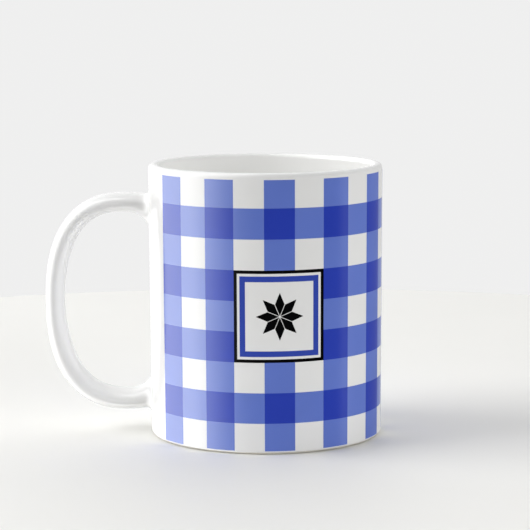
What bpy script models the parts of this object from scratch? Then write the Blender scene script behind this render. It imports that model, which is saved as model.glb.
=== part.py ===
"""A straight-sided glazed mug with a strap handle, a printed gingham wrap and two framed labels.

The mug stands on its foot ring at z = 0 with its mouth up, and its handle points to -X. The origin is
under the middle of the whole mug, so the cup's own axis stands at x = CUP_X, on the empty mug_axis that
every piece hangs from. Places round the cup are angles from its -Y side, growing towards +X. All lengths
are in metres.
"""

import math

import bmesh
import bpy
from mathutils import Vector

# Cup
MUG_HEIGHT = 0.0955
RIM_RADIUS = 0.0410
FOOT_RADIUS = 0.0406
LIP_THICKNESS = 0.0035
LOW_WALL_THICKNESS = 0.0046
FLOOR_TOP = 0.0068
INNER_CORNER = 0.0060
OUTER_CORNER = 0.0015
FOOT_RING_INNER_RADIUS = 0.0345
RECESS_HEIGHT = 0.0012
RECESS_SLOPE = 0.0010
CUP_STEPS = 72
CORNER_STEPS = 6
LIP_STEPS = 10
FOOT_STEPS = 4
MERGE_DISTANCE = 0.00001

# Handle: a straight run from each root, joined by half of a superellipse in the XZ plane
HANDLE_REACH = 0.0785
BEND_START = 0.0500
STRAP_TOP = 0.0849
STRAP_BOTTOM = 0.0073
BEND_EXPONENT = 2.4
TOP_THICKNESS = 0.0069
BOTTOM_THICKNESS = 0.0075
MIDDLE_THINNING = 0.0006
STRAP_WIDTH = 0.0125
ROOT_WIDTH = 0.0145
ROOT_SAG = 0.0010
SECTION_EXPONENT = 2.05
SECTION_POINTS = 16
BEND_STEPS = 26

# Joints of slip between the handle and the cup: how far each flare runs along the arm, and how much it adds
JOINT_LENGTH = 0.0030
INNER_FLARE = (0.0085, 0.0055)
OUTER_FLARE = (0.0020, 0.0024)
SIDE_FLARE = (0.0022, 0.0018)
JOINT_STEPS = 5
CAP_RINGS = (0.66, 0.33)  # how far out the inner rings of a joint's wall side lie
ROOT_STATIONS = (0.0, 0.0008, 0.0018, 0.0032)

# Print: 20 checks round the cup, 9 rows up it, and two labels of three checks by three
CHECK = 0.01044
COLUMNS = 20
ROWS = 9
PRINT_MIDDLE = 0.04725
PRINT_HEIGHT = 0.0921
FIRST_LABEL_ANGLE = math.radians(11.6)
LABEL_COLUMNS = {"front": 3, "back": 13}
LABEL_ROW = 3
LABEL_CHECKS = 3
BLACK_LINE = 0.0011
WHITE_LINE = 0.0009
BLUE_LINE = 0.0019
ROSETTE_TIP = 0.0084
ROSETTE_VALLEY = 0.541  # of the tip's radius, where eight lozenges with 45 degree points meet side by side
PETALS = 8
COLUMN_STEPS = 3
LINE_STEPS = 8

# Neighbouring pieces keep this clearance, and the fired ink is drawn this thick
GAP = 0.0003
INK_THICKNESS = 0.00025

SHARP_ANGLE = math.radians(40)

CHECK_ANGLE = CHECK / RIM_RADIUS
PRINT_START = FIRST_LABEL_ANGLE - (LABEL_COLUMNS["front"] + LABEL_CHECKS / 2) * CHECK_ANGLE
CUP_X = (HANDLE_REACH - RIM_RADIUS - GAP - INK_THICKNESS) / 2

WHITE_GLAZE = (0.84, 0.84, 0.83)
LIGHT_BLUE = (0.13, 0.20, 0.60)
DEEP_BLUE = (0.028, 0.053, 0.44)
BLACK = (0.006, 0.006, 0.007)


def wall_radius(z):
    """The cup's outside radius at a height."""
    return FOOT_RADIUS + (RIM_RADIUS - FOOT_RADIUS) * z / MUG_HEIGHT


def on_cup(angle, z, lift):
    """A point that stands off the cup's outside by lift."""
    radius = wall_radius(z) + lift
    return Vector((radius * math.sin(angle), -radius * math.cos(angle), z))


def arc(centre, radius, start, end, steps):
    """Points of a profile's arc, with its angles in degrees from the outward direction."""
    angles = [math.radians(start + (end - start) * i / steps) for i in range(steps + 1)]
    return [(centre[0] + radius * math.cos(a), centre[1] + radius * math.sin(a)) for a in angles]


def material(name, colour, roughness):
    """A plain dielectric finish of one colour."""
    made = bpy.data.materials.new(name)
    made.use_nodes = True
    shader = made.node_tree.nodes["Principled BSDF"]
    shader.inputs["Base Color"].default_value = (*colour, 1.0)
    shader.inputs["Roughness"].default_value = roughness
    shader.inputs["Metallic"].default_value = 0.0
    return made


def add_piece(name, bm, axis, colour, roughness=0.12):
    """Turns a bmesh into an object of its own that hangs from the cup's axis."""
    mesh = bpy.data.meshes.new(name)
    bm.to_mesh(mesh)
    bm.free()
    mesh.shade_smooth()
    mesh.set_sharp_from_angle(angle=SHARP_ANGLE)
    mesh.materials.append(material(name, colour, roughness))
    piece = bpy.data.objects.new(name, mesh)
    bpy.context.scene.collection.objects.link(piece)
    piece.parent = axis
    return piece


def cup_profile():
    """Radius and height along the cup's section, from inside its floor, over the lip, to its underside."""
    lip = LIP_THICKNESS / 2
    low_inner = FOOT_RADIUS - LOW_WALL_THICKNESS
    corner = (low_inner - INNER_CORNER, FLOOR_TOP + INNER_CORNER)
    foot = (wall_radius(OUTER_CORNER) - OUTER_CORNER, OUTER_CORNER)
    profile = [(0.0, FLOOR_TOP), (corner[0] / 2, FLOOR_TOP)]
    profile += arc(corner, INNER_CORNER, -90, 0, CORNER_STEPS)
    profile += arc((RIM_RADIUS - lip, MUG_HEIGHT - lip), lip, 180, 0, LIP_STEPS)
    profile += arc(foot, OUTER_CORNER, 0, -90, FOOT_STEPS)
    profile += [(FOOT_RING_INNER_RADIUS, 0.0), (FOOT_RING_INNER_RADIUS - RECESS_SLOPE, RECESS_HEIGHT)]
    profile += [(0.0, RECESS_HEIGHT)]
    return profile


def make_cup(axis):
    """The thrown cup: floor, foot ring, wall and rolled lip, turned from one section."""
    bm = bmesh.new()
    points = [bm.verts.new((radius, 0.0, z)) for radius, z in cup_profile()]
    for a, b in zip(points, points[1:], strict=False):
        bm.edges.new((a, b))
    cup = add_piece("cup_body", bm, axis, WHITE_GLAZE)
    turn = cup.modifiers.new("turn", "SCREW")
    turn.axis = "Z"
    turn.steps = turn.render_steps = CUP_STEPS
    turn.use_merge_vertices = True
    turn.merge_threshold = MERGE_DISTANCE
    turn.use_smooth_shade = True
    return cup


def flare(distance, shape):
    """How much an elliptical flare adds at a distance from the wall."""
    length, height = shape
    if distance >= length:
        return 0.0
    return height * (1 - math.sqrt(1 - (1 - distance / length) ** 2))


def section(centre, outward, sizes):
    """One ring of the strap. sizes are its outer and inner half thickness and its half width."""
    outer, inner, half_width = sizes
    ring = []
    for k in range(SECTION_POINTS):
        turn = 2 * math.pi * k / SECTION_POINTS
        c, s = math.cos(turn), math.sin(turn)
        across = half_width * math.copysign(abs(c) ** (2 / SECTION_EXPONENT), c)
        depth = math.copysign(abs(s) ** (2 / SECTION_EXPONENT), s) * (outer if s > 0 else inner)
        ring.append(centre + outward * depth + Vector((0, across, 0)))
    return ring


def strap_sizes(along, from_wall):
    """Half sizes of the strap. along runs from 0 at the upper root to 1 at the lower one."""
    waist = MIDDLE_THINNING * max(0.0, 1 - (4 * along - 2) ** 2) ** 2
    half = (TOP_THICKNESS + (BOTTOM_THICKNESS - TOP_THICKNESS) * along - waist) / 2
    width = STRAP_WIDTH + (ROOT_WIDTH - STRAP_WIDTH) * (2 * along - 1) ** 2
    return (
        half + flare(from_wall, OUTER_FLARE),
        half + flare(from_wall, INNER_FLARE),
        width / 2 + flare(from_wall, SIDE_FLARE),
    )


def arm_height(side, x):
    """Height of an arm's middle where it runs between its root and the bend. side is 1 above and -1 below."""
    middle = STRAP_TOP - TOP_THICKNESS / 2 if side > 0 else STRAP_BOTTOM + BOTTOM_THICKNESS / 2
    to_bend = min(1.0, max(0.0, (BEND_START - x) / (BEND_START - RIM_RADIUS)))
    return middle - side * ROOT_SAG * to_bend**2


def root_ring(side, x):
    """The strap's ring on a plane at distance x from the cup's axis, on the upper or lower arm."""
    z = arm_height(side, x)
    along = 0.0 if side > 0 else 1.0
    sizes = strap_sizes(along, x - wall_radius(z))
    return section(Vector((-x, 0, z)), Vector((0, 0, side)), sizes)


def bend_rings():
    """Rings round the bend, from the upper arm to the lower one."""
    high, low = arm_height(1, BEND_START), arm_height(-1, BEND_START)
    middle, b = (high + low) / 2, (high - low) / 2
    rings = []
    for i in range(BEND_STEPS + 1):
        along = i / BEND_STEPS
        sizes = strap_sizes(along, HANDLE_REACH)
        a = HANDLE_REACH - BEND_START - sizes[0]
        turn = math.pi * (0.5 - along)
        c, s, n = max(0.0, math.cos(turn)), math.sin(turn), BEND_EXPONENT
        reach = ((c / a) ** n + (abs(s) / b) ** n) ** (-1 / n)
        x, z = reach * c, reach * s
        outward = Vector((-((x / a) ** (n - 1)) / a, 0, math.copysign((abs(z) / b) ** (n - 1) / b, z)))
        rings.append(section(Vector((-BEND_START - x, 0, middle + z)), outward.normalized(), sizes))
    return rings


def skin(bm, rings):
    """Faces between rings that have the same number of points. Returns the rings' vertices."""
    made = [[bm.verts.new(p) for p in ring] for ring in rings]
    for first, second in zip(made, made[1:], strict=False):
        for k, corner in enumerate(first):
            after = (k + 1) % len(first)
            bm.faces.new((corner, first[after], second[after], second[k]))
    return made


def face_outward(bm):
    """Turns every face the same way, which is outward where the faces close a body."""
    bmesh.ops.recalc_face_normals(bm, faces=bm.faces[:])


def make_handle(axis):
    """The cast strap, from one joint to the other, with a flat end at each."""
    start = wall_radius(STRAP_TOP) + GAP + JOINT_LENGTH + GAP
    end = wall_radius(STRAP_BOTTOM) + GAP + JOINT_LENGTH + GAP
    rings = [root_ring(1, start + d) for d in ROOT_STATIONS]
    rings += bend_rings()
    rings += [root_ring(-1, end + d) for d in reversed(ROOT_STATIONS)]
    bm = bmesh.new()
    made = skin(bm, rings)
    bm.faces.new(made[0])
    bm.faces.new(made[-1])
    face_outward(bm)
    return add_piece("handle", bm, axis, WHITE_GLAZE)


def make_joint(name, side, axis):
    """A collar of slip: flat against the handle's end, and shaped to the cup's wall on its other side."""
    height = STRAP_TOP if side > 0 else STRAP_BOTTOM
    near = wall_radius(height) + GAP
    far = near + JOINT_LENGTH

    def against_wall(point):
        radius = wall_radius(point.z) + GAP
        return -math.sqrt(radius**2 - point.y**2)

    rings = []
    for i in range(JOINT_STEPS + 1):
        share = i / JOINT_STEPS
        ring = root_ring(side, near + share**2 * JOINT_LENGTH)
        for p in ring:
            p.x = against_wall(p) * (1 - share) - far * share
        rings.append(ring)
    wall_ring = rings[0]
    middle = sum(wall_ring, Vector()) / len(wall_ring)
    for share in CAP_RINGS:
        smaller = [middle.lerp(p, share) for p in wall_ring]
        for p in smaller:
            p.x = against_wall(p)
        rings.insert(0, smaller)
    middle.x = against_wall(middle)
    bm = bmesh.new()
    made = skin(bm, rings)
    bm.faces.new(made[-1])
    centre = bm.verts.new(middle)
    for a, b in zip(made[0], made[0][1:] + made[0][:1], strict=True):
        bm.faces.new((a, b, centre))
    face_outward(bm)
    return add_piece(name, bm, axis, WHITE_GLAZE)


def add_ink(name, bm, axis, colour):
    """A film of fired ink from one surface that lies a gap away from the cup, thickened outwards."""
    face_outward(bm)
    outside = sum(f.normal.dot(f.calc_center_median() * Vector((1, 1, 0))) for f in bm.faces)
    if outside < 0:
        bmesh.ops.reverse_faces(bm, faces=bm.faces[:])
    film = add_piece(name, bm, axis, colour)
    thicken = film.modifiers.new("ink", "SOLIDIFY")
    thicken.thickness = INK_THICKNESS
    thicken.offset = 1.0
    return film


def row_edges():
    """Heights of the print's row edges. The first and last rows are trimmed by the print's own edges."""
    low, high = PRINT_MIDDLE - PRINT_HEIGHT / 2, PRINT_MIDDLE + PRINT_HEIGHT / 2
    edges = [PRINT_MIDDLE + (i - ROWS / 2) * CHECK for i in range(ROWS + 1)]
    return [min(high, max(low, z)) for z in edges]


def in_label(column, row):
    """Whether a check lies under one of the labels."""
    rows = range(LABEL_ROW, LABEL_ROW + LABEL_CHECKS)
    return row in rows and any(c <= column < c + LABEL_CHECKS for c in LABEL_COLUMNS.values())


def make_gingham(axis):
    """The printed checks: upright stripes on even columns and level bands on odd rows, bare glaze between."""
    edges = row_edges()
    bm = bmesh.new()
    corners = {}

    def corner(step, row):
        if (step, row) not in corners:
            angle = PRINT_START + step * CHECK_ANGLE / COLUMN_STEPS
            corners[step, row] = bm.verts.new(on_cup(angle, edges[row], GAP))
        return corners[step, row]

    for column in range(COLUMNS):
        for row in range(ROWS):
            inked = column % 2 == 0 or row % 2 == 1
            if not inked or in_label(column, row):
                continue
            for step in range(column * COLUMN_STEPS, (column + 1) * COLUMN_STEPS):
                low = (corner(step, row), corner(step + 1, row))
                high = (corner(step + 1, row + 1), corner(step, row + 1))
                bm.faces.new(low + high)
    return add_ink("gingham_wrap", bm, axis, LIGHT_BLUE)


def square(half):
    """Points along a square outline, as distances across and up from its middle."""
    side = [-half + 2 * half * i / LINE_STEPS for i in range(LINE_STEPS)]
    lower = [(s, -half) for s in side]
    right = [(half, s) for s in side]
    upper = [(-s, half) for s in side]
    left = [(-half, -s) for s in side]
    return lower + right + upper + left


def star(tip, inner):
    """Points along an eight-pointed star outline, with one point halfway along each side."""
    count = 2 * PETALS
    radii = [tip if i % 2 == 0 else inner for i in range(count)]
    turns = [math.pi * i / PETALS for i in range(count)]
    points = [(r * math.sin(t), r * math.cos(t)) for r, t in zip(radii, turns, strict=True)]
    outline = []
    for a, b in zip(points, points[1:] + points[:1], strict=True):
        outline += [a, ((a[0] + b[0]) / 2, (a[1] + b[1]) / 2)]
    return outline


def label_point(angle, across, up):
    """A point of a label, across and up from its middle, a gap away from the cup."""
    return on_cup(angle + across / RIM_RADIUS, PRINT_MIDDLE + up, GAP)


def make_frame(name, angle, outer, line, axis, colour):
    """One square line of a label's frame."""
    bm = bmesh.new()
    outlines = (square(outer), square(outer - line))
    skin(bm, [[label_point(angle, *p) for p in outline] for outline in outlines])
    return add_ink(name, bm, axis, colour)


def make_rosette(name, angle, axis):
    """An eight-petalled star in the middle of a label."""
    bm = bmesh.new()
    outline = star(ROSETTE_TIP, ROSETTE_TIP * ROSETTE_VALLEY)
    halfway = [(x / 2, y / 2) for x, y in outline]
    made = skin(bm, [[label_point(angle, *p) for p in points] for points in (outline, halfway)])
    centre = bm.verts.new(label_point(angle, 0, 0))
    for a, b in zip(made[1], made[1][1:] + made[1][:1], strict=True):
        bm.faces.new((a, b, centre))
    return add_ink(name, bm, axis, BLACK)


def make_label(side, axis):
    """A label's black line, its blue line inside that, and its rosette."""
    angle = PRINT_START + (LABEL_COLUMNS[side] + LABEL_CHECKS / 2) * CHECK_ANGLE
    black = LABEL_CHECKS * CHECK / 2 - GAP
    blue = LABEL_CHECKS * CHECK / 2 - BLACK_LINE - WHITE_LINE
    make_frame(f"{side}_label_outer_frame", angle, black, BLACK_LINE, axis, BLACK)
    make_frame(f"{side}_label_inner_frame", angle, blue, BLUE_LINE, axis, DEEP_BLUE)
    make_rosette(f"{side}_label_rosette", angle, axis)


def main():
    for old in list(bpy.data.objects):
        bpy.data.objects.remove(old)
    axis = bpy.data.objects.new("mug_axis", None)
    axis.location = (CUP_X, 0, 0)
    bpy.context.scene.collection.objects.link(axis)
    make_cup(axis)
    make_handle(axis)
    make_joint("upper_handle_joint", 1, axis)
    make_joint("lower_handle_joint", -1, axis)
    make_gingham(axis)
    for side in LABEL_COLUMNS:
        make_label(side, axis)


main()
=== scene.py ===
"""The looks of a straight-sided glazed mug with a printed gingham wrap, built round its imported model.

Lengths are in metres, apart from those whose names end in MM. The mug stands on z = 0 with its handle towards
-X. Places round the cup are bearings from its -Y side, growing towards +X, and the camera stands a little to
the +X side of -Y.
"""

import math

import bmesh
import bpy
from mathutils import Matrix, Vector


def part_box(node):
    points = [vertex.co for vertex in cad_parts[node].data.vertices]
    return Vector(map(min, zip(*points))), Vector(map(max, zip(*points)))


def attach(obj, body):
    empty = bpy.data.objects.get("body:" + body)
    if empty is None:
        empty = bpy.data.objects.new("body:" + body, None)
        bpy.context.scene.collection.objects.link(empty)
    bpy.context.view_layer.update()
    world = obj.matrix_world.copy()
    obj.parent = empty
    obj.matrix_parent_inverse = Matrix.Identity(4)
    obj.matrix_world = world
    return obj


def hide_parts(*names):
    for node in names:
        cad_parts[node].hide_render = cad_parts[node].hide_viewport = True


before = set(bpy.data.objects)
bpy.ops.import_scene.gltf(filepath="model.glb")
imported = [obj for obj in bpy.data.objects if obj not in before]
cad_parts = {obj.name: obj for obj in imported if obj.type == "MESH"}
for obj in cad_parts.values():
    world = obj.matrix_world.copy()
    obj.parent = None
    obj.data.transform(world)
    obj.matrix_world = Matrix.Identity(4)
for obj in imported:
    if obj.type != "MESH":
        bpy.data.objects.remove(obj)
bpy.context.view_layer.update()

# The cup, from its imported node
CUP_LOW, CUP_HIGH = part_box("cup_body")
CUP_X = (CUP_LOW.x + CUP_HIGH.x) / 2
RIM_RADIUS = (CUP_HIGH.x - CUP_LOW.x) / 2
MUG_HEIGHT = CUP_HIGH.z
TAPER = 0.0004
FOOT_RADIUS = RIM_RADIUS - TAPER
LIP_THICKNESS = 0.0035
LOW_WALL_THICKNESS = 0.0046
FLOOR_TOP = 0.0068
FLOOR_DISH = 0.0003
INNER_CORNER = 0.0060
OUTER_CORNER = 0.0015
GLAZE_ENDS = -32  # degrees round the outer corner, which is bare from BARE_STARTS on
BARE_STARTS = -34
GLAZE_STEP = 0.00012  # how far the bare clay lies behind the glaze
FOOT_RING_INNER_RADIUS = 0.0345
FOOT_RING_EASE = (0.0004, 0.00015)  # how far the ring's inner edge is eased, across and up
RECESS_HEIGHT = 0.0012
RECESS_SLOPE = 0.0010
UNDERSIDE = ((0.96, 0.0001), (0.5, 0.0003), (0.0, 0.0003))  # shares of the recess's radius, with their rises
CUP_STEPS = 288
CUP_FLOOR_STEPS = 5
INNER_CORNER_STEPS = 14
INSIDE_STEPS = 10
LIP_STEPS = 24
OUTSIDE_STEPS = 12
GLAZED_CORNER_STEPS = 5
BARE_CORNER_STEPS = 7

# Places in the cup's list of materials
OUTER_FINISH = 0
INNER_PAINTED_LIGHT_FINISH = 1
BARE_FINISH = 2

# The handle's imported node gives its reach, top and bottom
HANDLE_LOW, HANDLE_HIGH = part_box("handle")
HANDLE_REACH = CUP_X - HANDLE_LOW.x
STRAP_TOP = HANDLE_HIGH.z
STRAP_BOTTOM = HANDLE_LOW.z
BEND_START = 0.0500
BEND_EXPONENT = 2.4
TOP_THICKNESS = 0.0069
BOTTOM_THICKNESS = 0.0075
MIDDLE_THINNING = 0.0006
STRAP_WIDTH = 0.0125
ROOT_WIDTH = 0.0145
ROOT_SAG = 0.0010  # how far each arm's root bends towards the other
SECTION_EXPONENT = 2.05
SECTION_POINTS = 72
BEND_STEPS = 96
INNER_FLARE = (0.0085, 0.0055)  # a flare's reach from the wall, and what it adds at the wall
OUTER_FLARE = (0.0020, 0.0024)
SIDE_FLARE = (0.0022, 0.0018)
ROOT_STEPS = 22
ROOT_DEPTH = 0.0006
WALL_FOLLOW = 0.0045  # how far from the wall the strap's rings still curve with it

# The print: checks, labels and the thickness of the ink
CHECK = 0.01044
COLUMNS = 20
ROWS = 9
PRINT_LOW, PRINT_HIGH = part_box("gingham_wrap")
PRINT_MIDDLE = (PRINT_LOW.z + PRINT_HIGH.z) / 2
FRONT_LABEL_COLUMN = 3
BACK_LABEL_COLUMN = 13
LABEL_ROW = 3
LABEL_CHECKS = 3
CHECK_STEPS = 10
BLACK_LINE = 0.0011
WHITE_LINE = 0.0009
BLUE_LINE = 0.0019
LINE_STEPS = 32
ROSETTE_TIP = 0.0084
ROSETTE_VALLEY = 0.541
PETALS = 8
PETAL_INSET = 0.93
PETAL_STEPS = 8
INK_TOP = 0.00004
INK_THICKNESS = 0.00003

# Edges sharper than this are shaded as creases
SHARP_ANGLE = math.radians(35)

# The camera, as it stands round the cup
CAMERA_BEARING = math.radians(5.0)
CAMERA_DISTANCE = 0.7716
CAMERA_HEIGHT = 0.16485
CAMERA_TILT = math.radians(7.793)
CAMERA_PAN = math.radians(0.017)
CAMERA_ROLL = math.radians(-0.229)
LENS_MM = 150.0
SENSOR_MM = 36.0
CLIP_START = 0.01
CLIP_END = 20.0

# Colours of the clay and the inks
WHITE_GLAZE = (0.90, 0.90, 0.894)
# The inside's plain glaze is whiter than the outside's: partly its own colour, partly painted light on the
# inside walls.
INNER_GLAZE_WITH_PAINTED_LIGHT = (0.95, 0.95, 0.935)
LIGHT_BLUE = (0.139, 0.216, 0.665)
DEEP_BLUE = (0.0250, 0.055, 0.485)
LABEL_BLUE = (0.040, 0.075, 0.445)
BLACK = (0.002, 0.002, 0.0025)
BISQUE = (0.74, 0.71, 0.65)

# How they shine: their gloss, which is 0.5 for a plain glaze, and the colour of the shine. The values for the
# inks were fitted to the photograph's colours.
GLAZE_GLOSS = 0.5
SINGLE_INK_GLOSS = 0.575
LABEL_GLOSS = 0.1
WHITE_SHEEN = (1.0, 1.0, 1.0)
SINGLE_INK_SHEEN = (1.0, 1.0, 0.86)
DOUBLE_INK_SHEEN = (0.86, 0.94, 1.0)
GLAZE_IOR = 1.5
SHINE_SPREAD = (0.75, 1.3)  # how far a glaze's roughness strays, as factors
BISQUE_ROUGHNESS = (0.65, 0.85)
BISQUE_UNEVENNESS = 0.18

# Noise scales, in waves per metre, and the depths and strengths of the bumps
POOLING_SCALE = 60
WAVE_SCALE = 70
PEEL_SCALE = 260
STAIN_SCALE = 300
SHINE_SCALE = 900
GRAIN_SCALE = 4000
WAVE_DEPTH = 0.00002
PEEL_DEPTH = 0.00001
GRAIN_DEPTH = 0.00005
GLAZE_BUMP = 0.3
GRAIN_BUMP = 0.5

# The stretches of a noise that are spread over a range and over two colours
RANGE_ENDS = (0.25, 0.75)
COLOUR_ENDS = (0.3, 0.7)

# The table top
FLOOR_RADIUS = 0.345
FLOOR_DROP = 0.00002  # keeps the table top out of the foot's own plane
FLOOR_EDGE_STEPS = 256
FLOOR_TONES = ((0.808, 0.804, 0.776), (0.824, 0.820, 0.792))
FLOOR_MOTTLE_SCALE = 9
FLOOR_ROUGHNESS = 0.6
FLOOR_GLOSS = 0.2

# Brightness of what the gloss reflects, by bearing from the camera in degrees: a wide soft light on the left,
# a dark front, and a narrow weak strip on the right
REFLECTED = (
    (-180, 0.8), (-150, 1.6), (-120, 3.4), (-100, 5.0), (-88, 5.7), (-76, 6.1),
    (-64, 5.0), (-52, 3.5), (-40, 2.0), (-26, 0.7), (-10, 0.1), (60, 0.06),
    (75, 0.12), (85, 0.7), (93, 0.25), (110, 0.15), (140, 0.2), (180, 0.8),
)
REFLECTED_MOST = max(level for degrees, level in REFLECTED)

# What the camera sees behind the table
BACKDROP = (0.866, 0.866, 0.864)

# Ambient light, as lobes of bearing, elevation, sharpness and strength
AMBIENT_LOBES = (
    (-150, 15, 2.0, 0.56),
    (-40, 50, 5.0, 0.66),
    (130, 15, 2.0, 0.9),
    (170, 15, 2.0, 1.6),
)


# ---------------------------------------------------------------- shapes

def wall_radius(z):
    """The cup's outside radius at a height."""
    return FOOT_RADIUS + (RIM_RADIUS - FOOT_RADIUS) * z / MUG_HEIGHT


def on_cup(bearing, z, lift):
    """A point that stands off the cup's outside by lift."""
    radius = wall_radius(z) + lift
    return Vector((CUP_X + radius * math.sin(bearing), -radius * math.cos(bearing), z))


def arc(centre, radius, start, end, steps):
    """Points of a profile's arc, with its angles in degrees from the outward direction."""
    angles = [math.radians(start + (end - start) * i / steps) for i in range(steps + 1)]
    return [(centre[0] + radius * math.cos(a), centre[1] + radius * math.sin(a)) for a in angles]


def run(start, end, steps):
    """Points along a straight stretch of a profile, without its two ends."""
    shares = [i / steps for i in range(1, steps)]
    return [tuple(a + (b - a) * share for a, b in zip(start, end, strict=True)) for share in shares]


def add_piece(name, bm, materials):
    """Turns a bmesh into a smooth object that rides on the mug's one body."""
    mesh = bpy.data.meshes.new(name)
    bm.to_mesh(mesh)
    bm.free()
    mesh.shade_smooth()
    mesh.set_sharp_from_angle(angle=SHARP_ANGLE)
    for material in materials:
        mesh.materials.append(material)
    piece = bpy.data.objects.new(name, mesh)
    bpy.context.scene.collection.objects.link(piece)
    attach(piece, "root")
    return piece


def skin(bm, rings):
    """Faces between rings that have the same number of points. Returns the rings' vertices."""
    made = [[bm.verts.new(p) for p in ring] for ring in rings]
    for first, second in zip(made, made[1:], strict=False):
        for k, corner in enumerate(first):
            after = (k + 1) % len(first)
            bm.faces.new((corner, first[after], second[after], second[k]))
    return made


def fan(bm, ring, middle):
    """Closes a ring with triangles round a middle point."""
    centre = bm.verts.new(middle)
    for a, b in zip(ring, ring[1:] + ring[:1], strict=True):
        bm.faces.new((a, b, centre))


# ---------------------------------------------------------------- materials

def start_material(name):
    """A new material, its node tree and its Principled shader."""
    material = bpy.data.materials.new(name)
    material.use_nodes = True
    tree = material.node_tree
    return material, tree, tree.nodes["Principled BSDF"]


def add_noise(tree, scale, detail=2.0):
    """Noise over the object's own coordinates, whose waves are about 1 / scale metres long."""
    place = tree.nodes.new("ShaderNodeTexCoord")
    noise = tree.nodes.new("ShaderNodeTexNoise")
    noise.inputs["Scale"].default_value = scale
    noise.inputs["Detail"].default_value = detail
    tree.links.new(place.outputs["Object"], noise.inputs["Vector"])
    return noise.outputs["Fac"]


def add_range(tree, value, low, high):
    """Spreads the middle of a noise over a range."""
    spread = tree.nodes.new("ShaderNodeMapRange")
    spread.inputs["From Min"].default_value = RANGE_ENDS[0]
    spread.inputs["From Max"].default_value = RANGE_ENDS[1]
    spread.inputs["To Min"].default_value = low
    spread.inputs["To Max"].default_value = high
    tree.links.new(value, spread.inputs["Value"])
    return spread.outputs["Result"]


def add_colours(tree, value, low, high):
    """Spreads the middle of a noise over two colours."""
    ramp = tree.nodes.new("ShaderNodeValToRGB")
    for element, position, colour in zip(ramp.color_ramp.elements, COLOUR_ENDS, (low, high), strict=True):
        element.position = position
        element.color = (*colour, 1.0)
    tree.links.new(value, ramp.inputs["Fac"])
    return ramp.outputs["Color"]


def add_bump(tree, shader, layers):
    """Stacks bumps. Each layer is a height output, its depth in metres and its strength."""
    normal = None
    for height, depth, strength in layers:
        bump = tree.nodes.new("ShaderNodeBump")
        bump.inputs["Distance"].default_value = depth
        bump.inputs["Strength"].default_value = strength
        tree.links.new(height, bump.inputs["Height"])
        if normal is not None:
            tree.links.new(normal, bump.inputs["Normal"])
        normal = bump.outputs["Normal"]
    tree.links.new(normal, shader.inputs["Normal"])


def shade(colour, share):
    """A colour made darker by a share of itself."""
    return tuple(c * (1 - share) for c in colour)


def glaze(name, colour, unevenness, roughness, gloss=GLAZE_GLOSS, sheen=WHITE_SHEEN):
    """A fired gloss: slight pooling in its colour, a faint orange peel, and fine unevenness in its shine."""
    material, tree, shader = start_material(name)
    pooling = add_noise(tree, POOLING_SCALE, 3.0)
    pooled = add_colours(tree, pooling, shade(colour, unevenness), colour)
    tree.links.new(pooled, shader.inputs["Base Color"])
    shine = add_noise(tree, SHINE_SCALE, 2.0)
    spread = add_range(tree, shine, roughness * SHINE_SPREAD[0], roughness * SHINE_SPREAD[1])
    tree.links.new(spread, shader.inputs["Roughness"])
    shader.inputs["IOR"].default_value = GLAZE_IOR
    shader.inputs["Specular IOR Level"].default_value = gloss
    shader.inputs["Specular Tint"].default_value = (*sheen, 1.0)
    peel = add_noise(tree, PEEL_SCALE, 1.0)
    waves = add_noise(tree, WAVE_SCALE, 1.0)
    add_bump(tree, shader, ((waves, WAVE_DEPTH, GLAZE_BUMP), (peel, PEEL_DEPTH, GLAZE_BUMP)))
    return material


def bisque(name):
    """Bare fired clay with a fine grain, where the foot ring was wiped clean of glaze."""
    material, tree, shader = start_material(name)
    grain = add_noise(tree, GRAIN_SCALE, 4.0)
    grained = add_colours(tree, grain, shade(BISQUE, BISQUE_UNEVENNESS), BISQUE)
    tree.links.new(grained, shader.inputs["Base Color"])
    stains = add_noise(tree, STAIN_SCALE, 2.0)
    tree.links.new(add_range(tree, stains, *BISQUE_ROUGHNESS), shader.inputs["Roughness"])
    add_bump(tree, shader, ((grain, GRAIN_DEPTH, GRAIN_BUMP),))
    return material


# ---------------------------------------------------------------- the clay

def lip_profile():
    """Radius and height over the rolled lip, from its inner side to its outer side."""
    half = LIP_THICKNESS / 2
    return arc((RIM_RADIUS - half, MUG_HEIGHT - half), half, 180, 0, LIP_STEPS)


def inside_profile():
    """Radius and height along the cup's inside, from the middle of its floor to just below the lip."""
    corner_middle = (FOOT_RADIUS - LOW_WALL_THICKNESS - INNER_CORNER, FLOOR_TOP + INNER_CORNER)
    corner = arc(corner_middle, INNER_CORNER, -90, 0, INNER_CORNER_STEPS)
    dish = FLOOR_TOP - FLOOR_DISH
    floor = [(0.0, dish)]
    for i in range(1, CUP_FLOOR_STEPS):
        share = i / CUP_FLOOR_STEPS
        floor.append((corner[0][0] * share, dish + FLOOR_DISH * share**2))
    wall = run(corner[-1], lip_profile()[0], INSIDE_STEPS)
    return floor + corner + wall


def outside_profile(foot):
    """Radius and height down the glazed outside, from just below the lip to where the bare foot starts."""
    corner = arc(foot, OUTER_CORNER, 0, GLAZE_ENDS, GLAZED_CORNER_STEPS)
    return run(lip_profile()[-1], corner[0], OUTSIDE_STEPS) + corner


def bare_profile(foot):
    """Radius and height along the bare foot ring, one glaze's thickness further in."""
    corner = arc(foot, OUTER_CORNER - GLAZE_STEP, BARE_STARTS, -90, BARE_CORNER_STEPS)
    ring = [(radius, max(0.0, z - GLAZE_STEP)) for radius, z in corner]
    across, up = FOOT_RING_EASE
    return ring + [(FOOT_RING_INNER_RADIUS + across, 0.0), (FOOT_RING_INNER_RADIUS, up)]


def underside_profile():
    """Radius and height along the glazed underside, from the foot ring to its middle."""
    recess_radius = FOOT_RING_INNER_RADIUS - RECESS_SLOPE
    crown = [(recess_radius * share, RECESS_HEIGHT + rise) for share, rise in UNDERSIDE]
    return [(recess_radius, RECESS_HEIGHT), *crown]


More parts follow.
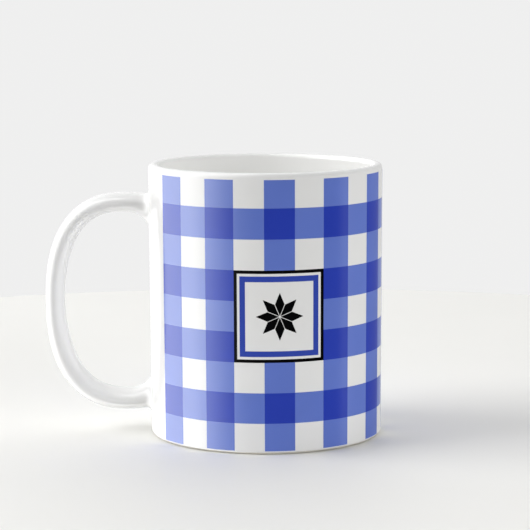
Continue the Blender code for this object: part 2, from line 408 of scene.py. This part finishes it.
def turn(bm, profile, finish_of):
    """Turns a profile round the axis it starts and ends on. finish_of gives each stretch's material."""
    rings = []
    for radius, z in profile:
        if radius == 0.0:
            rings.append([bm.verts.new((CUP_X, 0.0, z))])
            continue
        turns = [2 * math.pi * k / CUP_STEPS for k in range(CUP_STEPS)]
        rings.append([bm.verts.new((CUP_X + radius * math.cos(t), radius * math.sin(t), z)) for t in turns])
    for i, (first, second) in enumerate(zip(rings, rings[1:], strict=False)):
        for k in range(CUP_STEPS):
            after = (k + 1) % CUP_STEPS
            corners = [first[k % len(first)], first[after % len(first)]]
            corners += [second[after % len(second)], second[k % len(second)]]
            face = bm.faces.new(list(dict.fromkeys(corners)))
            face.material_index = finish_of(i)


def make_cup(white, inner_white_with_painted_light, bare_clay):
    """The cup in one turned piece: coated for printing outside, plain glaze inside with painted light making
    it whiter, and bare on its foot.
    """
    foot = (wall_radius(OUTER_CORNER) - OUTER_CORNER, OUTER_CORNER)
    inside, lip = inside_profile(), lip_profile()
    inner_to = len(inside) + len(lip) // 3  # the inner glaze reaches a third of the way over the lip
    profile = inside + lip + outside_profile(foot)
    bare_from = len(profile) - 1
    profile += bare_profile(foot)
    bare_to = len(profile) - 1
    profile += underside_profile()

    def finish_of(i):
        if i < inner_to:
            return INNER_PAINTED_LIGHT_FINISH
        return BARE_FINISH if bare_from <= i < bare_to else OUTER_FINISH

    bm = bmesh.new()
    turn(bm, profile, finish_of)
    bmesh.ops.recalc_face_normals(bm, faces=bm.faces[:])
    cup = add_piece("glazed_cup", bm, (white, inner_white_with_painted_light, bare_clay))
    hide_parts("cup_body")


def flare(distance, shape):
    """How much an elliptical flare adds at a distance from the wall."""
    length, height = shape
    if distance >= length:
        return 0.0
    reach = 1 - max(0.0, distance) / length
    return height * (1 - math.sqrt(1 - reach**2))


def section(centre, outward, sizes):
    """One ring of the strap. sizes are its outer and inner half thickness and its half width."""
    outer, inner, half_width = sizes
    ring = []
    for k in range(SECTION_POINTS):
        turn_by = 2 * math.pi * k / SECTION_POINTS
        c, s = math.cos(turn_by), math.sin(turn_by)
        across = half_width * math.copysign(abs(c) ** (2 / SECTION_EXPONENT), c)
        depth = math.copysign(abs(s) ** (2 / SECTION_EXPONENT), s) * (outer if s > 0 else inner)
        ring.append(centre + outward * depth + Vector((0, across, 0)))
    return ring


def strap_sizes(along, from_wall):
    """Half sizes of the strap. along runs from 0 at the upper root to 1 at the lower one."""
    waist = MIDDLE_THINNING * max(0.0, 1 - (4 * along - 2) ** 2) ** 2
    half = (TOP_THICKNESS + (BOTTOM_THICKNESS - TOP_THICKNESS) * along - waist) / 2
    width = STRAP_WIDTH + (ROOT_WIDTH - STRAP_WIDTH) * (2 * along - 1) ** 2
    return (
        half + flare(from_wall, OUTER_FLARE),
        half + flare(from_wall, INNER_FLARE),
        width / 2 + flare(from_wall, SIDE_FLARE),
    )


def arm_height(side, reach):
    """Height of an arm's middle where it runs between its root and the bend. side is 1 above and -1 below."""
    middle = STRAP_TOP - TOP_THICKNESS / 2 if side > 0 else STRAP_BOTTOM + BOTTOM_THICKNESS / 2
    to_bend = min(1.0, max(0.0, (BEND_START - reach) / (BEND_START - RIM_RADIUS)))
    return middle - side * ROOT_SAG * to_bend**2


def root_ring(side, from_wall):
    """The strap's ring at a distance from the wall, curved with the wall where it is near it."""
    reach = RIM_RADIUS + from_wall
    z = arm_height(side, reach)
    sizes = strap_sizes(0.0 if side > 0 else 1.0, from_wall)
    ring = section(Vector((CUP_X - reach, 0, z)), Vector((0, 0, side)), sizes)
    follow = max(0.0, 1 - max(0.0, from_wall) / WALL_FOLLOW)
    for p in ring:
        wall = math.sqrt(wall_radius(p.z) ** 2 - p.y**2)
        curved = CUP_X - wall - from_wall
        p.x = curved * follow + (CUP_X - wall_radius(z) - from_wall) * (1 - follow)
    return ring


def bend_ring(along):
    """The strap's ring on the bend, which is half of a superellipse."""
    high, low = arm_height(1, BEND_START), arm_height(-1, BEND_START)
    middle, b = (high + low) / 2, (high - low) / 2
    sizes = strap_sizes(along, HANDLE_REACH)
    a = HANDLE_REACH - BEND_START - sizes[0]
    turn_by = math.pi * (0.5 - along)
    c, s, n = max(0.0, math.cos(turn_by)), math.sin(turn_by), BEND_EXPONENT
    reach = ((c / a) ** n + (abs(s) / b) ** n) ** (-1 / n)
    x, z = reach * c, reach * s
    outward = Vector((-((x / a) ** (n - 1)) / a, 0, math.copysign((abs(z) / b) ** (n - 1) / b, z)))
    return section(Vector((CUP_X - BEND_START - x, 0, middle + z)), outward.normalized(), sizes)


def make_handle(white):
    """The strap with both of its joints in one run, flaring into the cup's wall."""
    straight = BEND_START - RIM_RADIUS
    roots = [straight * (i / ROOT_STEPS) ** 2 for i in range(ROOT_STEPS)]
    rings = [root_ring(1, d) for d in (-ROOT_DEPTH, *roots)]
    rings += [bend_ring(i / BEND_STEPS) for i in range(BEND_STEPS + 1)]
    rings += [root_ring(-1, d) for d in (*reversed(roots), -ROOT_DEPTH)]
    bm = bmesh.new()
    made = skin(bm, rings)
    for ring in (made[0], made[-1]):
        middle = sum((v.co for v in ring), Vector()) / len(ring)
        fan(bm, ring, middle)
    bmesh.ops.recalc_face_normals(bm, faces=bm.faces[:])
    handle = add_piece("glazed_handle", bm, (white,))
    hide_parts("handle", "upper_handle_joint", "lower_handle_joint")


# ---------------------------------------------------------------- the print

def bearing_of(node):
    """The bearing of a node's middle round the cup."""
    points = [v.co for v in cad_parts[node].data.vertices]
    middle = sum(points, Vector()) / len(points)
    return math.atan2(middle.x - CUP_X, -middle.y)


CHECK_ANGLE = CHECK / RIM_RADIUS
FRONT_LABEL_BEARING = bearing_of("front_label_rosette")
PRINT_START = FRONT_LABEL_BEARING - (FRONT_LABEL_COLUMN + LABEL_CHECKS / 2) * CHECK_ANGLE


def add_ink(name, bm, materials, node):
    """A film of ink that lies on the glaze. Its sheet of faces, which face outwards, is the film's top."""
    bm.normal_update()
    bmesh.ops.solidify(bm, geom=bm.faces[:], thickness=INK_THICKNESS)
    film = add_piece(name, bm, materials)
    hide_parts(node)


def in_label(column, row):
    """Whether a check lies under one of the labels."""
    starts = (FRONT_LABEL_COLUMN, BACK_LABEL_COLUMN)
    beside = any(c <= column < c + LABEL_CHECKS for c in starts)
    return beside and LABEL_ROW <= row < LABEL_ROW + LABEL_CHECKS


def make_gingham(light, deep):
    """Upright stripes on even columns and level bands on odd rows, darker where they cross.

    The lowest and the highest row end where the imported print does.
    """
    edges = [PRINT_MIDDLE + (i - ROWS / 2) * CHECK for i in range(ROWS + 1)]
    edges[0], edges[-1] = PRINT_LOW.z, PRINT_HIGH.z
    bm = bmesh.new()
    corners = {}

    def corner(step, row):
        if (step, row) not in corners:
            bearing = PRINT_START + step * CHECK_ANGLE / CHECK_STEPS
            corners[step, row] = bm.verts.new(on_cup(bearing, edges[row], INK_TOP))
        return corners[step, row]

    for column in range(COLUMNS):
        for row in range(ROWS):
            stripe, band = column % 2 == 0, row % 2 == 1
            if not (stripe or band) or in_label(column, row):
                continue
            for step in range(column * CHECK_STEPS, (column + 1) * CHECK_STEPS):
                low = (corner(step, row), corner(step + 1, row))
                high = (corner(step + 1, row + 1), corner(step, row + 1))
                face = bm.faces.new(low + high)
                face.material_index = int(stripe and band)
    add_ink("gingham_print", bm, (light, deep), "gingham_wrap")


def label_point(bearing, across, up):
    """A point of a label, across and up from its middle."""
    return on_cup(bearing + across / RIM_RADIUS, PRINT_MIDDLE + up, INK_TOP)


def square(half):
    """Points along a square outline, as distances across and up from its middle."""
    side = [-half + 2 * half * i / LINE_STEPS for i in range(LINE_STEPS)]
    lower = [(s, -half) for s in side]
    right = [(half, s) for s in side]
    upper = [(-s, half) for s in side]
    left = [(-half, -s) for s in side]
    return lower + right + upper + left


def make_line(name, bearing, outer, width, material, node):
    """One square line of a label's frame."""
    bm = bmesh.new()
    outlines = (square(outer), square(outer - width))
    skin(bm, [[label_point(bearing, *p) for p in outline] for outline in outlines])
    add_ink(name, bm, (material,), node)


def petal_corners(index):
    """A petal's corners from the rosette's middle outwards, drawn in towards its own middle."""
    turn_by = 2 * math.pi * index / PETALS
    half = math.pi / PETALS
    valley = ROSETTE_TIP * ROSETTE_VALLEY
    places = ((0.0, 0.0), (valley, turn_by + half), (ROSETTE_TIP, turn_by), (valley, turn_by - half))
    points = [Vector((r * math.sin(t), r * math.cos(t))) for r, t in places]
    middle = sum(points, Vector((0, 0))) / len(points)
    return [middle.lerp(p, PETAL_INSET) for p in points]


def make_rosette(name, bearing, black, node):
    """Eight lozenge petals round a point."""
    bm = bmesh.new()
    for index in range(PETALS):
        root, left, tip, right = petal_corners(index)
        grid = []
        for i in range(PETAL_STEPS + 1):
            near, far = root.lerp(left, i / PETAL_STEPS), right.lerp(tip, i / PETAL_STEPS)
            points = [near.lerp(far, j / PETAL_STEPS) for j in range(PETAL_STEPS + 1)]
            grid.append([bm.verts.new(label_point(bearing, p.x, p.y)) for p in points])
        for first, second in zip(grid, grid[1:], strict=False):
            for j in range(PETAL_STEPS):
                bm.faces.new((first[j], second[j], second[j + 1], first[j + 1]))
    add_ink(name, bm, (black,), node)


def make_label(side, column, black, blue):
    """A label's black line, its blue line inside that, and its rosette."""
    bearing = PRINT_START + (column + LABEL_CHECKS / 2) * CHECK_ANGLE
    half = LABEL_CHECKS * CHECK / 2
    outer, inner = f"{side}_label_outer_frame", f"{side}_label_inner_frame"
    make_line(f"{side}_label_black_line", bearing, half, BLACK_LINE, black, outer)
    inner_half = half - BLACK_LINE - WHITE_LINE
    make_line(f"{side}_label_blue_line", bearing, inner_half, BLUE_LINE, blue, inner)
    make_rosette(f"{side}_label_star", bearing, black, f"{side}_label_rosette")


# ---------------------------------------------------------------- the stage

def make_floor():
    """A plain pale round table top, which the gloss doesn't see."""
    material, tree, shader = start_material("pale_floor")
    mottle = add_noise(tree, FLOOR_MOTTLE_SCALE, 3.0)
    tree.links.new(add_colours(tree, mottle, *FLOOR_TONES), shader.inputs["Base Color"])
    shader.inputs["Roughness"].default_value = FLOOR_ROUGHNESS
    shader.inputs["Specular IOR Level"].default_value = FLOOR_GLOSS
    bm = bmesh.new()
    bmesh.ops.create_circle(bm, cap_ends=True, segments=FLOOR_EDGE_STEPS, radius=FLOOR_RADIUS)
    mesh = bpy.data.meshes.new("floor")
    bm.to_mesh(mesh)
    bm.free()
    mesh.materials.append(material)
    floor = bpy.data.objects.new("floor", mesh)
    floor.location = (CUP_X, 0, -FLOOR_DROP)
    floor.visible_glossy = False
    bpy.context.scene.collection.objects.link(floor)


def direction_at(bearing, elevation):
    """The unit direction towards a bearing and an elevation, both in degrees."""
    b, e = math.radians(bearing), math.radians(elevation)
    return Vector((math.cos(e) * math.sin(b), -math.cos(e) * math.cos(b), math.sin(e)))


def add_math(tree, operation, a, b=None):
    """A math node on outputs or numbers."""
    node = tree.nodes.new("ShaderNodeMath")
    node.operation = operation
    for socket, value in zip(node.inputs, (a, b), strict=False):
        if value is None:
            continue
        if isinstance(value, (int, float)):
            socket.default_value = value
        else:
            tree.links.new(value, socket)
    return node.outputs[0]


def add_lobe(tree, direction, towards, sharpness, strength):
    """Light that is strongest from one direction and fades smoothly away from it."""
    dot = tree.nodes.new("ShaderNodeVectorMath")
    dot.operation = "DOT_PRODUCT"
    tree.links.new(direction, dot.inputs[0])
    dot.inputs[1].default_value = towards
    facing = add_math(tree, "MAXIMUM", dot.outputs["Value"], 0.0)
    return add_math(tree, "MULTIPLY", add_math(tree, "POWER", facing, sharpness), strength)


def share_of_turn(tree, direction):
    """A direction's bearing from the camera as a share of a full turn, with the camera's own at a half."""
    split = tree.nodes.new("ShaderNodeSeparateXYZ")
    tree.links.new(direction, split.inputs[0])
    forward = add_math(tree, "MULTIPLY", split.outputs["Y"], -1.0)
    bearing = add_math(tree, "ARCTAN2", split.outputs["X"], forward)
    turned = add_math(tree, "SUBTRACT", bearing, CAMERA_BEARING)
    turns = add_math(tree, "DIVIDE", turned, 2 * math.pi)
    return add_math(tree, "FRACT", add_math(tree, "ADD", turns, 0.5))


def make_reflections(tree, direction):
    """The background that only the gloss sees."""
    ramp_node = tree.nodes.new("ShaderNodeValToRGB")
    ramp = ramp_node.color_ramp
    ramp.interpolation = "LINEAR"
    while len(ramp.elements) < len(REFLECTED):
        ramp.elements.new(0.5)
    for element, (degrees, level) in zip(ramp.elements, REFLECTED, strict=True):
        element.position = (degrees + 180) / 360
        element.color = (*[level / REFLECTED_MOST] * 3, 1.0)
    tree.links.new(share_of_turn(tree, direction), ramp_node.inputs["Fac"])
    reflected = tree.nodes.new("ShaderNodeBackground")
    tree.links.new(ramp_node.outputs["Color"], reflected.inputs["Color"])
    reflected.inputs["Strength"].default_value = REFLECTED_MOST
    return reflected.outputs[0]


def make_ambient(tree, direction):
    """The background that lights everything softly, as a sum of lobes."""
    level = None
    for bearing, elevation, sharpness, strength in AMBIENT_LOBES:
        towards = direction_at(bearing + math.degrees(CAMERA_BEARING), elevation)
        lobe = add_lobe(tree, direction, towards, sharpness, strength)
        level = lobe if level is None else add_math(tree, "ADD", level, lobe)
    ambient = tree.nodes.new("ShaderNodeBackground")
    tree.links.new(level, ambient.inputs["Strength"])
    return ambient.outputs[0]


def add_switch(tree, share, otherwise, chosen):
    """One background where share is 0 and another where it is 1."""
    switch = tree.nodes.new("ShaderNodeMixShader")
    tree.links.new(share, switch.inputs["Fac"])
    tree.links.new(otherwise, switch.inputs[1])
    tree.links.new(chosen, switch.inputs[2])
    return switch.outputs[0]


def make_world():
    """Soft studio surroundings: a pale backdrop, soft ambient light, and what the glaze reflects."""
    world = bpy.data.worlds.new("studio")
    world.use_nodes = True
    bpy.context.scene.world = world
    tree = world.node_tree
    tree.nodes.clear()
    direction = tree.nodes.new("ShaderNodeTexCoord").outputs["Generated"]
    path = tree.nodes.new("ShaderNodeLightPath")
    reflected = make_reflections(tree, direction)
    ambient = make_ambient(tree, direction)
    backdrop = tree.nodes.new("ShaderNodeBackground")
    backdrop.inputs["Color"].default_value = (*BACKDROP, 1.0)
    lit = add_switch(tree, path.outputs["Is Glossy Ray"], ambient, reflected)
    seen = add_switch(tree, path.outputs["Is Camera Ray"], lit, backdrop.outputs[0])
    out = tree.nodes.new("ShaderNodeOutputWorld")
    tree.links.new(seen, out.inputs["Surface"])


def add_softbox(name, bearing, elevation, distance, size, power):
    """A square area light that faces the middle of the mug, and that neither the camera nor the gloss sees.

    Its bearing is from the camera, and both angles are in degrees.
    """
    light = bpy.data.lights.new(name, "AREA")
    light.shape = "SQUARE"
    light.size = size
    light.energy = power
    lamp = bpy.data.objects.new(name, light)
    bpy.context.scene.collection.objects.link(lamp)
    towards = direction_at(bearing + math.degrees(CAMERA_BEARING), elevation)
    middle = Vector((CUP_X, 0, MUG_HEIGHT / 2))
    lamp.location = middle + towards * distance
    lamp.rotation_euler = towards.to_track_quat("Z", "Y").to_euler()
    lamp.visible_camera = False
    lamp.visible_glossy = False


def make_camera():
    """The camera's place and aim round the cup."""
    camera = bpy.data.cameras.new("camera")
    camera.lens = LENS_MM
    camera.sensor_width = SENSOR_MM
    camera.clip_start = CLIP_START
    camera.clip_end = CLIP_END
    viewer = bpy.data.objects.new("camera", camera)
    bpy.context.scene.collection.objects.link(viewer)
    across = CUP_X + CAMERA_DISTANCE * math.sin(CAMERA_BEARING)
    placed = Matrix.Translation((across, -CAMERA_DISTANCE * math.cos(CAMERA_BEARING), CAMERA_HEIGHT))
    turned = Matrix.Rotation(CAMERA_BEARING + CAMERA_PAN, 4, "Z")
    tilted = Matrix.Rotation(math.pi / 2 - CAMERA_TILT, 4, "X")
    rolled = Matrix.Rotation(CAMERA_ROLL, 4, "Z")
    viewer.matrix_world = placed @ turned @ tilted @ rolled
    bpy.context.scene.camera = viewer


def main():
    """The mug on its table top, with the light round it and the camera."""
    white = glaze("white_glaze", WHITE_GLAZE, unevenness=0.012, roughness=0.10)
    light = glaze(
        "light_blue_ink",
        LIGHT_BLUE,
        unevenness=0.05,
        roughness=0.13,
        gloss=SINGLE_INK_GLOSS,
        sheen=SINGLE_INK_SHEEN,
    )
    deep = glaze("overlapping_blue_ink", DEEP_BLUE, unevenness=0.06, roughness=0.13, sheen=DOUBLE_INK_SHEEN)
    frame_blue = glaze("deep_blue_ink", LABEL_BLUE, unevenness=0.05, roughness=0.13, gloss=LABEL_GLOSS)
    black = glaze("black_ink", BLACK, unevenness=0.1, roughness=0.14, gloss=LABEL_GLOSS)
    inner_white_with_painted_light = glaze("inner_glaze_with_painted_light", INNER_GLAZE_WITH_PAINTED_LIGHT, unevenness=0.012, roughness=0.10)
    make_cup(white, inner_white_with_painted_light, bisque("bare_foot_clay"))
    make_handle(white)
    make_gingham(light, deep)
    make_label("front", FRONT_LABEL_COLUMN, black, frame_blue)
    make_label("back", BACK_LABEL_COLUMN, black, frame_blue)
    make_floor()
    make_world()
    add_softbox("key_light", bearing=-85, elevation=33, distance=2.4, size=1.8, power=44.5)
    add_softbox("fill_light", bearing=45, elevation=12, distance=2.4, size=1.4, power=24.0)
    make_camera()
    bpy.context.scene.view_settings.view_transform = "Standard"
    bpy.context.scene.view_settings.look = "None"


main()
